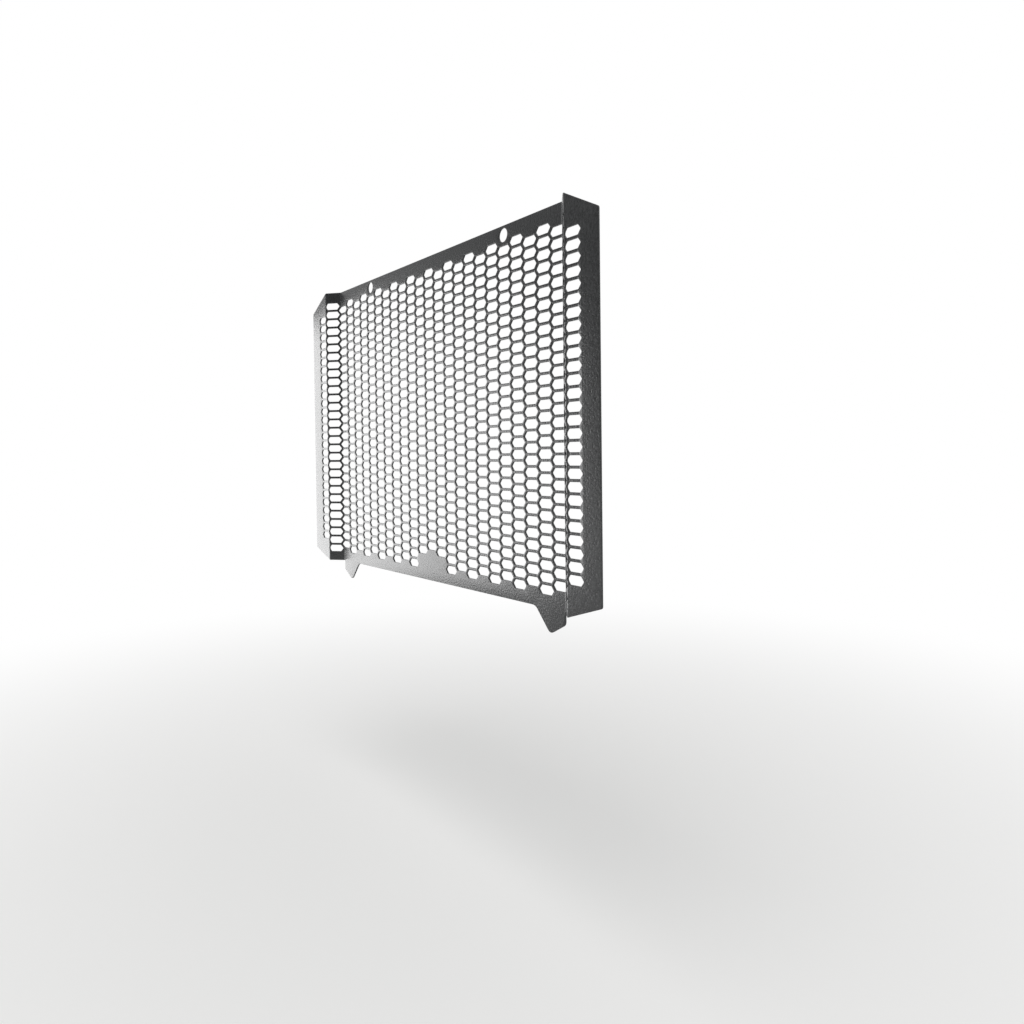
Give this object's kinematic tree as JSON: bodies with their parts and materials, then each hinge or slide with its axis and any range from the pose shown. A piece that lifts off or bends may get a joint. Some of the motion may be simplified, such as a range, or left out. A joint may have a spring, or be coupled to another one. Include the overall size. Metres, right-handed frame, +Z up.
{
  "type": "motorcycle radiator guard",
  "caption": "Honeycomb-perforated sheet-metal guard with stepped side wings and bottom tabs, fixed in front of a motorcycle's radiator to keep stones off it.",
  "frame": {"origin": "midway between the two fixing holes near the top edge, on the front face of the main sheet", "axes": "+X across the guard, +Y from the front face back towards the radiator, +Z up"},
  "size_m": [0.4216, 0.012, 0.2889],
  "materials": {
    "coated_sheet": "satin dark grey powder coat on aluminium sheet"
  },
  "bodies": {
    "root": {"guard_panel": "coated_sheet"}
  },
  "joints": []
}
